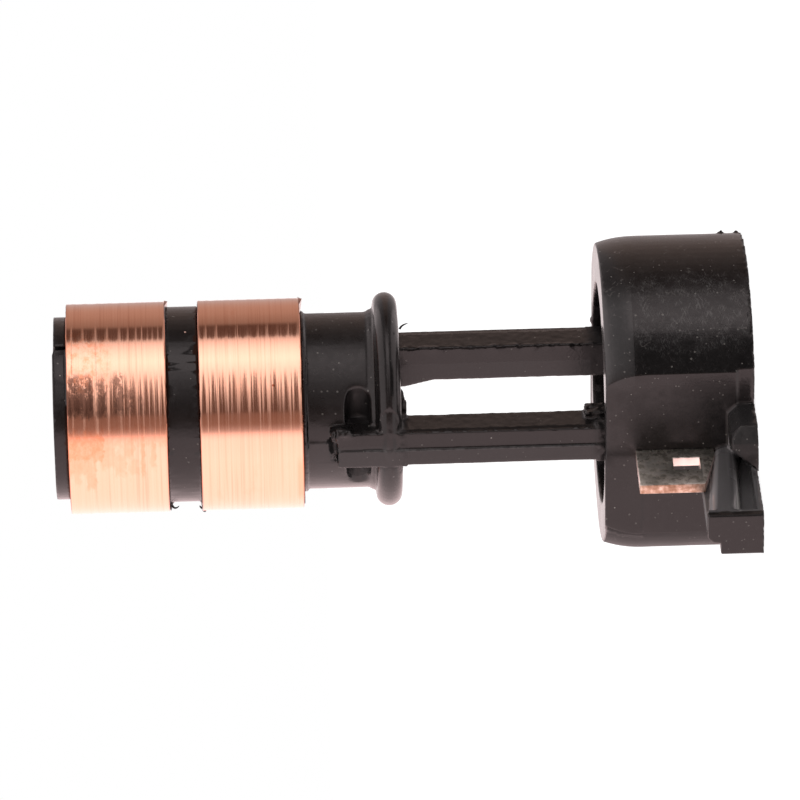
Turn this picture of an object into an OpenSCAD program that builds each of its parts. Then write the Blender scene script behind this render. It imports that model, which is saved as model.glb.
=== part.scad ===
// Slip ring for an alternator rotor. One insulating moulding holds two copper rings on a hub,
// and two legs carry a stamped lead from each ring past the bearing seat to a terminal on the collar.
// The part stands on the flat end of its collar, and the shaft runs along Z through the origin.

/* [Shaft fit] */
// Bore for the rotor shaft through hub and rings
shaft_bore_d = 8.1; // [7.5:0.1:8.8]
// Bore of the collar, which goes over the bearing seat of the shaft
collar_bore_d = 17.2; // [16.6:0.1:18.4]
// Clear height between collar and bead, where the bearing sits
bearing_gap = 15.6; // [14:0.1:20]
// Chamfer that leads the shaft into the hub
bore_chamfer = 0.4; // [0.2:0.1:0.8]

/* [Collar] */
// Height of the collar
collar_h = 11.4; // [10.8:0.1:15]
// Wall of the collar where it is round
collar_wall = 3.55; // [3:0.05:4.5]
// Wall left between the bore and each terminal flat
flat_wall = 1.3; // [1.1:0.05:1.6]
// Height over which the collar's upper rim rounds off
rim_h = 3; // [1:0.1:4]
// Radius that the collar loses over that rim
rim_t = 0.5; // [0.2:0.05:0.8]
// Height of the shallow step at the foot of each flat
foot_h = 1.4; // [0.8:0.1:1.8]
// Depth of the shallow step at the foot of each flat
foot_t = 0.15; // [0.05:0.05:0.3]
// Height at which the ribs inside the collar stop above its flat end
rib_stop = 2.5; // [1:0.1:2.9]

/* [Hub] */
// Wall of the moulded core under the rings, from the shaft bore outward
core_wall = 2.55; // [2.3:0.05:3]
// How far the bare hub stands out from the core
hub_step = 0.2; // [0.1:0.05:0.5]
// Height of the bare hub between the bearing gap and the inner ring
hub_h = 7.6; // [7:0.1:9]
// Height of the bead at the foot of the hub
bead_h = 1.9; // [1.5:0.1:2.2]
// How far the bead stands out from the hub
bead_out = 1.5; // [1:0.1:2]
// Height of the low step above the bead
step_h = 0.4; // [0.2:0.1:0.5]
// How far that step and the shoulder under the inner ring stand out from the hub
step_out = 0.2; // [0.1:0.05:0.3]
// Height of the shoulder under the inner ring
shoulder_h = 0.3; // [0.2:0.1:0.6]
// Height of the round-bottomed slot across the hub behind each leg
slot_h = 1.9; // [1.4:0.1:2]
// Height of that slot above the bead
slot_lift = 0.5; // [0.4:0.1:0.8]

/* [Rings] */
// Wall of each copper ring
ring_wall = 1.6; // [1.2:0.05:2.2]
// Height of the ring nearer the hub
inner_ring_h = 7.9; // [7:0.1:10]
// Height of the ring at the shaft's end
outer_ring_h = 7.65; // [7:0.05:10]
// Height of the insulating band between the rings
ring_gap = 2.55; // [2:0.05:4]
// Depth of that band below the face of the rings
band_recess = 0.6; // [0.3:0.05:0.9]
// Chamfer on the outer edges of each ring
ring_chamfer = 0.12; // [0.05:0.01:0.3]
// Depth of the grooves inside each ring that lock it to the core
groove_t = 0.4; // [0.2:0.05:0.6]
// Height of those grooves
groove_h = 0.8; // [0.5:0.1:1.2]
// Distance from each end of a ring to its groove
groove_inset = 1.2; // [0.8:0.1:1.6]
// Height of the moulded stub above the outer ring
stub_h = 1.1; // [0.8:0.1:2]
// Depth of the stub below the face of the rings
stub_recess = 1.2; // [1:0.05:1.4]
// Width of the notch in the stub
notch_w = 0.35; // [0.2:0.05:0.8]
// Depth of the notch in the stub
notch_t = 1.3; // [0.8:0.1:1.8]
// Angle of the notch round the shaft, from the near leg
notch_at = 70.7; // [50:0.1:90]

/* [Legs] */
// Radial distance between the shaft bore and the legs
leg_clear = 1.15; // [0.9:0.05:1.3]
// Width of each leg
leg_w = 2.88; // [2.4:0.02:3.4]
// Thickness of each leg
leg_t = 2.9; // [2.6:0.05:3.3]
// Step on each leg's outer face where the mould halves meet
mould_step = 0.1; // [0.05:0.01:0.2]
// How far each leg runs on over the hub
leg_over = 5.35; // [4.6:0.05:6.2]
// Slope at the end of each leg
leg_slope = 0.3; // [0.2:0.1:1.2]
// Length of the small web between the far leg and the bead
web_l = 2.9; // [1:0.1:5]
// Height of that web
web_h = 0.55; // [0.3:0.05:1]

/* [Leads] */
// Sheet thickness of the leads
lead_t = 0.8; // [0.6:0.05:1]
// Width of the lead inside the legs
lead_w = 1.3; // [1:0.05:1.5]
// Insulation between the lead and the inner face of its leg
lead_cover = 0.8; // [0.6:0.05:1]
// Insulation between the lead and the shaft bore inside the hub
hub_cover = 0.85; // [0.6:0.05:1]
// Width of the lead inside the hub
riser_w = 1; // [0.8:0.05:1.1]
// Height of the tab that joins the lead to its ring
tab_h = 1.6; // [1:0.1:2.4]
// Height of the lower edge of each terminal above the collar's flat end
term_z = 3.1; // [3:0.05:3.4]
// Height of each terminal's blade
term_h = 6; // [5:0.05:6.6]
// Length of each terminal beyond its flat
term_l = 5.3; // [4.5:0.1:7]
// Length of the taper on each terminal's lower edge
tip_l = 4.3; // [1:0.1:4.4]
// Height of that taper
tip_h = 1; // [0.4:0.1:1.2]
// Height of the window in each terminal
window_h = 2.05; // [1.4:0.05:2.4]
// Width of that window
window_w = 1.8; // [1.5:0.05:2]
// Distance from the flat to that window
window_in = 1.25; // [1:0.05:1.6]
// Distance from a terminal's lower edge to its window
window_up = 1.2; // [1:0.1:1.5]

/* [Wire posts] */
// Length of each post beyond its flat
post_l = 10.4; // [9.5:0.1:12]
// Height of each post
post_h = 4.27; // [4:0.01:4.6]
// Depth of each post on the far side of its terminal
post_back = 2.9; // [2.6:0.05:3.4]
// How far each post covers the near side of its terminal
post_front = 0.5; // [0.45:0.05:0.7]
// Thickness of the wall at the tip of each post
tip_wall = 1; // [0.7:0.1:1.4]
// Depth of the wire's recess behind the near side of the post
recess = 1.1; // [0.8:0.1:1.4]
// Width and depth of the step along the post's back corner
back_step = 1; // [0.6:0.1:1.2]
// Bevel beside that step
back_bevel = 0.45; // [0.2:0.05:0.6]
// Height of the lip along the recess at the collar's flat end
lip_h = 0.45; // [0.3:0.05:0.8]
// Radius of the round rib on the post at the flat
rib_root_r = 1; // [0.85:0.01:1.1]
// Radius of that rib at the post's tip
rib_tip_r = 1.23; // [1.15:0.01:1.4]
// Height of that rib's axis at the flat
rib_root_z = 2.2; // [2:0.05:2.5]
// Height of that rib's axis at the post's tip
rib_tip_z = 2.9; // [2.5:0.05:3]
// How far the rib's crest stands out from the shaft's plane through the terminals
rib_crest = 0.6; // [0.5:0.05:0.8]
// Height of the pad beside each post
pad_h = 2; // [1.4:0.1:2.6]
// Length of the pad beyond its flat
pad_l = 4.3; // [3.5:0.1:5.5]
// Reach of the pad along the flat
pad_w = 4.2; // [3.8:0.05:5.2]
// Bevel on the pad's upper corner
pad_bevel = 0.7; // [0.4:0.05:1]
// Angle in plan of the slope on the pad that faces the post
pad_turn = 26.6; // [15:0.1:35]
// Lean of that slope from upright
pad_lean = 40; // [25:1:55]

/* [Hidden] */
$fn = 96;
// Overshoot of a cut past the face that it opens
over = 0.5;
plastic = [0.16, 0.145, 0.145];
copper = [0.82, 0.5, 0.36];
tinned = [0.55, 0.53, 0.5];
shaft_r = shaft_bore_d / 2;
bore_r = collar_bore_d / 2;
collar_r = bore_r + collar_wall;
flat_u = bore_r + flat_wall;
core_r = shaft_r + core_wall;
ring_r = core_r + ring_wall;
hub_r = core_r + hub_step;
bead_r = hub_r + bead_out;
band_r = ring_r - band_recess;
stub_r = ring_r - stub_recess;
step_r = hub_r + step_out;
// Heights along the shaft, from the collar's flat end up
hub_z = collar_h + bearing_gap;
inner_z = hub_z + hub_h;
band_z = inner_z + inner_ring_h;
outer_z = band_z + ring_gap;
stub_z = outer_z + outer_ring_h;
top_z = stub_z + stub_h;
leg_top = hub_z + leg_over;
slot_z = hub_z + bead_h + slot_lift + slot_h / 2;
leg_in = shaft_r + leg_clear;
leg_out = leg_in + leg_t;
lead_in = leg_in + lead_cover;
lead_out = lead_in + lead_w;
riser_in = shaft_r + hub_cover;
riser_out = riser_in + riser_w;
// The lead steps inward between these heights, while its leg still covers it
jog_z = hub_z + leg_over / 2;
jog_top = leg_top - leg_slope / 2;
term_out = flat_u + term_l;
post_out = flat_u + post_l;
// Radius of the arc that rounds the collar's upper rim, tangent to its side
rim_r = (rim_h^2 + rim_t^2) / (2 * rim_t);

// The two sides of the shaft are each other's mirror image
module both_sides() {
    for (side = [0, 1]) {
        mirror([side, 0, 0])
            children();
    }
}

// Solid of the hub, core, band and stub, without the shaft bore
module hub_blank() {
    rotate_extrude() {
        translate([0, hub_z])
            square([hub_r, hub_h]);
        translate([0, hub_z])
            square([bead_r - bead_h / 2, bead_h]);
        translate([bead_r - bead_h / 2, hub_z + bead_h / 2])
            circle(d = bead_h);
        translate([0, hub_z + bead_h - over])
            square([step_r, over + step_h]);
        translate([0, inner_z - shoulder_h])
            square([step_r, shoulder_h]);
        translate([0, inner_z])
            square([core_r, stub_z - inner_z]);
        translate([0, band_z])
            square([band_r, ring_gap]);
        translate([0, stub_z])
            square([stub_r, stub_h]);
        lock_ribs(inner_z, inner_ring_h);
        lock_ribs(outer_z, outer_ring_h);
    }
}

// Sections of the two ribs that fill the grooves inside a ring
module lock_ribs(z, h) {
    for (mid = [groove_inset + groove_h / 2, h - groove_inset - groove_h / 2]) {
        translate([core_r - over, z + mid - groove_h / 2])
            square([over + groove_t, groove_h]);
    }
}

module ring(z, h) {
    rotate_extrude() {
        difference() {
            translate([0, z])
                polygon([
                    [core_r, 0],
                    [ring_r - ring_chamfer, 0],
                    [ring_r, ring_chamfer],
                    [ring_r, h - ring_chamfer],
                    [ring_r - ring_chamfer, h],
                    [core_r, h]
                ]);
            lock_ribs(z, h);
        }
    }
}

module collar_blank() {
    difference() {
        rotate_extrude() {
            square([collar_r, collar_h - rim_h]);
            intersection() {
                square([collar_r, collar_h]);
                translate([collar_r - rim_r, collar_h - rim_h])
                    circle(r = rim_r);
            }
        }
        both_sides() {
            translate([flat_u, -collar_r, -over])
                cube([collar_r, 2 * collar_r, collar_h + 2 * over]);
        }
        translate([0, 0, -over])
            cylinder(r = bore_r, h = collar_h + 2 * over);
    }
}

// One leg, with its mould step, the rib inside the collar and the sloped end on the hub
module leg() {
    translate([0, 0, rib_stop])
        linear_extrude(leg_top - leg_slope - rib_stop)
            leg_section();
    rotate([90, 0, 0])
        linear_extrude(leg_w, center = true)
            polygon([
                [leg_in, leg_top - leg_slope - over],
                [leg_out, leg_top - leg_slope - over],
                [leg_out, leg_top - leg_slope],
                [hub_r, leg_top],
                [leg_in, leg_top]
            ]);
    translate([leg_in, -leg_w / 2, rib_stop])
        cube([flat_u - leg_in - foot_t - over / 2, leg_w, collar_h - rim_h - rib_stop]);
}

module leg_section() {
    polygon([
        [leg_in, -leg_w / 2],
        [leg_out + mould_step, -leg_w / 2],
        [leg_out + mould_step, 0],
        [leg_out, 0],
        [leg_out, leg_w / 2],
        [leg_in, leg_w / 2]
    ]);
}

// Slot with a round bottom across the hub, open outward from the leg's inner face
module hub_slot() {
    difference() {
        translate([leg_in + slot_h / 2, 0, slot_z]) {
            rotate([90, 0, 0])
                cylinder(d = slot_h, h = 2 * bead_r, center = true);
            translate([0, -bead_r, -slot_h / 2])
                cube([bead_r, 2 * bead_r, slot_h]);
        }
        translate([leg_in - over, -leg_w / 2, slot_z - slot_h])
            cube([bead_r, leg_w, 2 * slot_h]);
    }
}

// Outline across a post, with its stepped back corner and, above the lip, its near side at front
module post_section(front) {
    polygon([
        [0, post_front],
        [lip_h, post_front],
        [lip_h, front],
        [post_h, front],
        [post_h, back_step + back_bevel - post_back],
        [post_h - back_bevel, back_step - post_back],
        [post_h - back_step, back_step - post_back],
        [post_h - back_step, -post_back],
        [0, -post_back]
    ]);
}

// Stands a section drawn as height and width on the flat, running outward from u
module outward(u, length) {
    multmatrix([[0, 0, 1, u], [0, 1, 0, 0], [1, 0, 0, 0], [0, 0, 0, 1]])
        linear_extrude(length)
            children();
}

module wire_post() {
    rib_l = post_l - tip_wall / 2;
    rise = atan((rib_tip_z - rib_root_z) / rib_l);
    dip = atan((rib_tip_r - rib_root_r) / rib_l);
    outward(flat_u - flat_wall / 2, post_l + flat_wall / 2)
        post_section(post_front - recess);
    outward(post_out - tip_wall, tip_wall)
        post_section(post_front);
    translate([flat_u, rib_crest - rib_root_r, rib_root_z])
        rotate([0, 90 - rise, -dip])
            cylinder(r1 = rib_root_r, r2 = rib_tip_r, h = rib_l);
}

// Wedge beside the post, which backs the wire where it turns up to the terminal
module pad() {
    reach = pad_l + pad_w;
    difference() {
        pad_blank();
        translate([flat_u, post_front, pad_h])
            rotate([0, 0, pad_turn])
                rotate([-pad_lean, 0, 0])
                    translate([-reach, -reach, -reach])
                        cube([3 * reach, reach, 2 * reach]);
    }
}

module pad_blank() {
    intersection() {
        linear_extrude(pad_h)
            polygon([
                [bore_r, -post_back / 2],
                [bore_r, pad_w],
                [flat_u + pad_l - tip_wall, pad_w],
                [flat_u + pad_l, pad_w - tip_wall],
                [flat_u + pad_l + tip_wall, post_front - recess],
                [flat_u + pad_l, -post_back / 2]
            ]);
        outward(flat_u - flat_wall / 2, post_l)
            polygon([
                [0, -post_back],
                [0, pad_w],
                [pad_h - pad_bevel, pad_w],
                [pad_h, pad_w - pad_bevel],
                [pad_h, -post_back]
            ]);
    }
}

// Shallow step along the foot of a flat
module foot_step() {
    translate([flat_u - foot_t, pad_w, -over])
        cube([over + foot_t, collar_r, over + foot_h]);
}

// One stamped lead, from its terminal up the leg to the middle of its ring
module lead(ring_mid) {
    tab_z = ring_mid - tab_h / 2;
    intersection() {
        rotate([90, 0, 0])
            linear_extrude(lead_t, center = true)
                difference() {
                    polygon([
                        [lead_in, term_z],
                        [term_out - tip_l, term_z],
                        [term_out, term_z + tip_h],
                        [term_out, term_z + term_h],
                        [lead_out, term_z + term_h],
                        [lead_out, jog_z],
                        [riser_out, jog_top],
                        [riser_out, tab_z],
                        [ring_r, tab_z],
                        [ring_r, tab_z + tab_h],
                        [riser_in, tab_z + tab_h],
                        [riser_in, jog_top],
                        [lead_in, jog_z]
                    ]);
                    translate([flat_u + window_in, term_z + window_up])
                        square([window_w, window_h]);
                }
        union() {
            translate([0, 0, inner_z])
                cylinder(r = core_r, h = top_z - inner_z);
            cylinder(r = term_out + over, h = inner_z);
        }
    }
}

module outer_lead() {
    lead(outer_z + outer_ring_h / 2);
}

module inner_lead() {
    mirror([1, 0, 0])
        lead(inner_z + inner_ring_h / 2);
}

module moulded_body() {
    color(plastic)
        difference() {
            union() {
                collar_blank();
                hub_blank();
                both_sides() {
                    leg();
                    wire_post();
                    pad();
                }
                leg_web();
            }
            translate([0, 0, hub_z - over])
                cylinder(r = shaft_r, h = top_z - hub_z + 2 * over);
            translate([0, 0, hub_z])
                cylinder(r1 = shaft_r + bore_chamfer, r2 = shaft_r, h = bore_chamfer);
            both_sides() {
                hub_slot();
                foot_step();
            }
            rotate([0, 0, notch_at])
                translate([stub_r - notch_t, -notch_w / 2, stub_z])
                    cube([notch_t + over, notch_w, stub_h + over]);
            outer_lead();
            inner_lead();
        }
}

// Thin web in the corner between the far leg and the bead
module leg_web() {
    mirror([1, 0, 0])
        translate([leg_in, -leg_w / 2, hub_z])
            rotate([90, 0, 90])
                linear_extrude(leg_t / 2)
                    polygon([
                        [over, over],
                        [over, -web_l],
                        [0, -web_l],
                        [-web_h, -web_l / 4],
                        [-web_h, over]
                    ]);
}

module inner_ring() {
    color(copper)
        ring(inner_z, inner_ring_h);
}

module outer_ring() {
    color(copper)
        ring(outer_z, outer_ring_h);
}

module inner_ring_lead() {
    color(tinned)
        inner_lead();
}

module outer_ring_lead() {
    color(tinned)
        outer_lead();
}

moulded_body();
inner_ring();
outer_ring();
inner_ring_lead();
outer_ring_lead();
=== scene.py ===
import math
import random

import bpy
import numpy as np
from mathutils import Matrix, Vector


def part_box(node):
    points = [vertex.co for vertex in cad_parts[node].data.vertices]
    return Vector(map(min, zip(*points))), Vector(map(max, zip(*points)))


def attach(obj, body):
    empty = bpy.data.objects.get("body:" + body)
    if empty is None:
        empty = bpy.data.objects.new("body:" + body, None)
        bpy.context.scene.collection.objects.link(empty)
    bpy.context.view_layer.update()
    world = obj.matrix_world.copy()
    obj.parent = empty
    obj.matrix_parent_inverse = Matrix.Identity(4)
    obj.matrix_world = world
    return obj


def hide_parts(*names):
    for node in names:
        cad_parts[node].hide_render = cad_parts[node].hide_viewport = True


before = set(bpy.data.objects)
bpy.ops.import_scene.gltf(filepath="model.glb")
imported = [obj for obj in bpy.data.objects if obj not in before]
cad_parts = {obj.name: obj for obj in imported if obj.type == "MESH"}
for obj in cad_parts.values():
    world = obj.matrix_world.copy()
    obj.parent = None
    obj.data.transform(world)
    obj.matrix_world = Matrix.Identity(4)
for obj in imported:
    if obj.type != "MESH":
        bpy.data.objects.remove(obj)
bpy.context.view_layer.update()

# The camera
# The part stands on its collar, so the photograph's left is up here. The camera looks at it level,
# from a little above the middle, and is rolled as the part was in the photograph.
MM = 0.001
VIEW_AZIMUTH = math.radians(119.7)
CAMERA_DISTANCE = 577 * MM
CAMERA_HEIGHT = 40.9 * MM
AIM_HEIGHT = 26.9 * MM
AIM_DROP = 0.16 * MM
CAMERA_ROLL = math.radians(1.63)
PIXEL = 0.078 * MM
PHOTO_WIDTH = 800
toward_camera = Vector((math.sin(VIEW_AZIMUTH), -math.cos(VIEW_AZIMUTH), 0))
picture_up = Vector((-toward_camera.y, toward_camera.x, 0))
shaft = Vector((0, 0, 1))

camera = bpy.data.objects.new("camera", bpy.data.cameras.new("camera"))
bpy.context.scene.collection.objects.link(camera)
bpy.context.scene.camera = camera
place = toward_camera * CAMERA_DISTANCE + shaft * CAMERA_HEIGHT
aim = shaft * AIM_HEIGHT - picture_up * AIM_DROP
back = (place - aim).normalized()
tilted_up = picture_up * math.cos(CAMERA_ROLL) - shaft * math.sin(CAMERA_ROLL)
right = tilted_up.cross(back).normalized()
camera.matrix_world = Matrix.Translation(place) @ Matrix(
    (right, back.cross(right), back)
).transposed().to_4x4()
camera.data.lens = camera.data.sensor_width * (place - aim).length / (PHOTO_WIDTH * PIXEL)
camera.data.clip_start = 10 * MM
bpy.context.scene.view_settings.view_transform = "Standard"

# The white surround
# White card stands all round the part and under it, lit plainly, and the camera sees it as white.
# Gloss sees the studio too. In each list a stop has degrees round the shaft from the camera,
# positive toward the picture's top, then a level and a tint. A list holds for the slopes along the
# shaft up to its reach: the dark camera in the middle, the softbox over it, the room, then card.
# Round the table's side and the far side the lists have the same stops.
SURROUND_LIGHT = 0.8
BRIGHTEST = 2.3
TABLE = (1.3, 1, 1)
LAMP = (1.15, 1, 1)
BROWN = (1.6, 1, 0.85)
DUSK = (1.38, 1, 0.88)
CARD = [
    (-180, 1.3, LAMP), (-168, 1.25, TABLE), (-150, 1.35, TABLE), (-20, 1.2, LAMP),
    (165, 1.1, LAMP), (180, 1.3, LAMP),
]
TABLE_SIDE = [
    (-180, 1.3, LAMP), (-168, 1.25, TABLE), (-150, 1.4, TABLE), (-63, 1.46, TABLE),
    (-38, 1.38, TABLE),
]
FAR_SIDE = [(168, 0.5, LAMP), (176, 1.3, LAMP), (180, 1.3, LAMP)]
ROOM = [
    *TABLE_SIDE, (-31, 1.0, TABLE), (-26, 0.25, BROWN), (30, 0.2, LAMP), (104, 0.3, LAMP),
    *FAR_SIDE,
]
SOFTBOX = [
    *TABLE_SIDE, (-32, 1.2, LAMP), (-22, 0.55, LAMP), (-9, 0.5, LAMP), (3, 0.75, LAMP),
    (20, 1.25, LAMP), (39, 1.45, LAMP), (51, 1.68, LAMP), (57, 1.58, LAMP), (64, 1.42, LAMP),
    (70, 1.2, LAMP), (76, 0.9, LAMP), (82, 0.4, LAMP), (104, 0.3, DUSK), (125, 0.36, LAMP),
    *FAR_SIDE,
]
DARK_SHAPE = [
    *TABLE_SIDE, (-33, 1.15, TABLE), (-28, 0.42, TABLE), (-22, 0.2, BROWN), (-9.5, 0.16, BROWN),
    (-8, 0.08, BROWN), (43, 0.1, BROWN), (77, 0.08, BROWN), (97, 0.07, BROWN),
    (101, 0.23, DUSK), (119, 0.34, DUSK), (135, 0.38, DUSK), *FAR_SIDE,
]
DARK_REACH = [
    (-180, 0.3), (-40, 0.3), (-28, 0.16), (-9.5, 0.15), (-7.5, 0.115), (1, 0.105), (10, 0.09),
    (19, 0.072), (28, 0.05), (36, 0.022), (43, 0), (77, 0), (81, 0.1), (98, 0.125), (103, 0.18),
    (180, 0.2),
]
SOFTBOX_REACH = 0.21
ROOM_REACH = 0.5
STUDIO_MIDDLE = -0.03
SHAPE_EDGE = 0.02


def fill(tree, socket, value):
    """Links a socket into an input, or writes a plain value there."""
    if isinstance(value, bpy.types.NodeSocket):
        tree.links.new(value, socket)
    else:
        socket.default_value = value


def add_node(tree, kind, **settings):
    """Adds a shader node. A setting named in_X fills the input X, and any other is an attribute."""
    made = tree.nodes.new(kind)
    for name, value in settings.items():
        if not name.startswith("in_"):
            setattr(made, name, value)
            continue
        key = name[3:]
        fill(tree, made.inputs[int(key) if key.isdigit() else key.replace("_", " ")], value)
    return made


def compute(tree, operation, *values, clamp=False):
    """A maths node on sockets or numbers."""
    made = add_node(tree, "ShaderNodeMath", operation=operation, use_clamp=clamp)
    for socket, value in zip(made.inputs, values):
        fill(tree, socket, value)
    return made.outputs[0]


def ramp(tree, value, stops):
    """A colour ramp. Each stop is a position and a grey or a colour."""
    made = add_node(tree, "ShaderNodeValToRGB", in_Fac=value)
    elements = made.color_ramp.elements
    while len(elements) < len(stops):
        elements.new(0.5)
    for element, (position, colour) in zip(elements, stops):
        element.position = position
        element.color = (*colour, 1) if isinstance(colour, tuple) else (colour, colour, colour, 1)
    return made.outputs["Color"]


def round_the_shaft(tree, turn, stops):
    """A tinted level that goes by the turn from the camera."""
    return ramp(tree, turn, [
        (degrees / 360 + 0.5, tuple(level * part / BRIGHTEST for part in tint))
        for degrees, level, tint in stops
    ])


def mixed(tree, amount, first, second):
    """One colour over another, by a mask."""
    colours = [(*colour, 1) if isinstance(colour, tuple) else colour for colour in (first, second)]
    made = add_node(
        tree, "ShaderNodeMix", data_type="RGBA", in_0=amount, in_6=colours[0], in_7=colours[1]
    )
    return made.outputs[2]


def seen_directly(tree):
    """A mask that is 1 for what the camera sees, straight or through gloss and glass."""
    path = add_node(tree, "ShaderNodeLightPath").outputs
    gloss = compute(tree, "MAXIMUM", path["Is Camera Ray"], path["Is Glossy Ray"])
    return compute(tree, "MAXIMUM", gloss, path["Is Transmission Ray"])


def studio_in_gloss(tree):
    """The light that gloss finds in each direction."""
    look = add_node(tree, "ShaderNodeTexCoord").outputs["Generated"]
    ahead, upward, along = (
        add_node(tree, "ShaderNodeVectorMath", operation="DOT_PRODUCT", in_0=look, in_1=axis)
        for axis in (toward_camera, picture_up, shaft)
    )
    angle = compute(tree, "ARCTAN2", upward.outputs["Value"], ahead.outputs["Value"])
    turn = compute(tree, "MULTIPLY_ADD", angle, 1 / math.tau, 0.5)
    slope = compute(tree, "SUBTRACT", along.outputs["Value"], STUDIO_MIDDLE)
    slope = compute(tree, "ABSOLUTE", slope)
    level = round_the_shaft(tree, turn, CARD)
    dark_reach = ramp(tree, turn, [(degrees / 360 + 0.5, reach) for degrees, reach in DARK_REACH])
    for reach, stops in ((ROOM_REACH, ROOM), (SOFTBOX_REACH, SOFTBOX), (dark_reach, DARK_SHAPE)):
        room = compute(tree, "SUBTRACT", reach, slope)
        inside = compute(tree, "DIVIDE", room, SHAPE_EDGE, clamp=True)
        level = mixed(tree, inside, level, round_the_shaft(tree, turn, stops))
    return level


world = bpy.data.worlds.new("white_surround")
bpy.context.scene.world = world
world.use_nodes = True
sky = world.node_tree
sky.nodes.clear()
lit = add_node(sky, "ShaderNodeBackground", in_Color=(1, 1, 1, 1), in_Strength=SURROUND_LIGHT)
white = add_node(sky, "ShaderNodeBackground", in_Color=(1, 1, 1, 1), in_Strength=1.0)
studio = add_node(
    sky, "ShaderNodeBackground", in_Color=studio_in_gloss(sky), in_Strength=BRIGHTEST
)
plain = add_node(
    sky, "ShaderNodeMixShader", in_0=seen_directly(sky), in_1=lit.outputs[0], in_2=white.outputs[0]
)
gloss_ray = add_node(sky, "ShaderNodeLightPath").outputs["Is Glossy Ray"]
both = add_node(
    sky, "ShaderNodeMixShader", in_0=gloss_ray, in_1=plain.outputs[0], in_2=studio.outputs[0]
)
add_node(sky, "ShaderNodeOutputWorld", in_Surface=both.outputs[0])

FLOOR_SIZE = 4.0
FLOOR_GREY = 0.55
FLOOR_LIFT = 0.72
bpy.ops.mesh.primitive_plane_add(size=FLOOR_SIZE)
floor = bpy.context.object
floor.name = "floor"
floor.data.materials.append(bpy.data.materials.new("floor_card"))
floor.data.materials[0].use_nodes = True
card = floor.data.materials[0].node_tree
card.nodes.clear()
matt = add_node(card, "ShaderNodeBsdfDiffuse", in_Color=(FLOOR_GREY, FLOOR_GREY, FLOOR_GREY, 1))
glow_level = compute(card, "MULTIPLY", seen_directly(card), FLOOR_LIFT)
glow = add_node(card, "ShaderNodeEmission", in_Strength=glow_level)
floor_sum = add_node(card, "ShaderNodeAddShader", in_0=matt.outputs[0], in_1=glow.outputs[0])
add_node(card, "ShaderNodeOutputMaterial", in_Surface=floor_sum.outputs[0])
floor.visible_glossy = False

# Two cards that only gloss finds: the shadow under the collar, where it lay on the table along its
# lowest line, and a black flag that stood close to the collar, over its middle.
CONTACT_SHADE = (0.56, 0.44, 0.44, 1)
CONTACT_WIDTH = 12 * MM
CONTACT_LOW = 12.4 * MM
CONTACT_BACK = 1.5 * MM
FLAG_SHADE = (0.10, 0.09, 0.09, 1)
FLAG_FROM = (50 * MM, 2 * MM)
FLAG_TO = (40.5 * MM, 31.5 * MM)
FLAG_LOW = -20 * MM
FLAG_HIGH = 14.5 * MM


def gloss_card(name, centre, facing, size, colour):
    """A card seen in gloss alone, from its centre, its facing and its size along and across."""
    bpy.ops.mesh.primitive_plane_add(size=1)
    piece = bpy.context.object
    piece.name = name
    across = shaft.cross(facing).normalized()
    width, height = size
    piece.matrix_world = Matrix.Translation(centre) @ Matrix(
        (across * height, shaft * width, facing)
    ).transposed().to_4x4()
    piece.data.materials.append(bpy.data.materials.new(name))
    piece.data.materials[0].use_nodes = True
    tree = piece.data.materials[0].node_tree
    tree.nodes.clear()
    glow = add_node(tree, "ShaderNodeEmission", in_Color=colour)
    add_node(tree, "ShaderNodeOutputMaterial", in_Surface=glow.outputs[0])
    for ray in ("camera", "diffuse", "transmission", "shadow"):
        setattr(piece, "visible_" + ray, False)


gloss_card(
    "contact_shadow",
    shaft * CONTACT_WIDTH / 2 - picture_up * CONTACT_LOW - toward_camera * CONTACT_BACK,
    picture_up, (CONTACT_WIDTH, CONTACT_WIDTH), CONTACT_SHADE,
)
flag_from, flag_to = (
    toward_camera * ahead + picture_up * above for ahead, above in (FLAG_FROM, FLAG_TO)
)
flag_run = flag_to - flag_from
gloss_card(
    "black_flag", (flag_from + flag_to) / 2 + shaft * (FLAG_LOW + FLAG_HIGH) / 2,
    flag_run.cross(shaft).normalized(), (FLAG_HIGH - FLAG_LOW, flag_run.length), FLAG_SHADE,
)

# The lamps
# One large softbox stands above the camera's line of sight, and a weak one hangs overhead. Gloss
# finds them in the studio above, so the lamps themselves are kept out of it.
STUDIO_HEIGHT = 40 * MM


def softbox(name, turn, distance, width, height, radiance, rise=0.0):
    """A lamp at a level angle from the camera, positive toward the picture's top."""
    lamp_data = bpy.data.lights.new(name, "AREA")
    lamp_data.shape = "RECTANGLE"
    lamp_data.size = width
    lamp_data.size_y = height
    lamp_data.energy = radiance * math.pi * width * height
    lamp = bpy.data.objects.new(name, lamp_data)
    bpy.context.scene.collection.objects.link(lamp)
    outward = toward_camera * math.cos(turn) + picture_up * math.sin(turn)
    lamp.location = shaft * (STUDIO_HEIGHT + rise) + outward * distance
    away = lamp.location - shaft * STUDIO_HEIGHT
    lamp.rotation_euler = away.to_track_quat("Z", "Y").to_euler()
    lamp.visible_glossy = False


softbox(
    "softbox", turn=math.radians(55), distance=0.75, width=0.55, height=0.62, radiance=1.2
)
softbox(
    "overhead", turn=math.radians(20), distance=0.3, width=0.5, height=0.5, radiance=0.5,
    rise=0.7,
)

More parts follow.
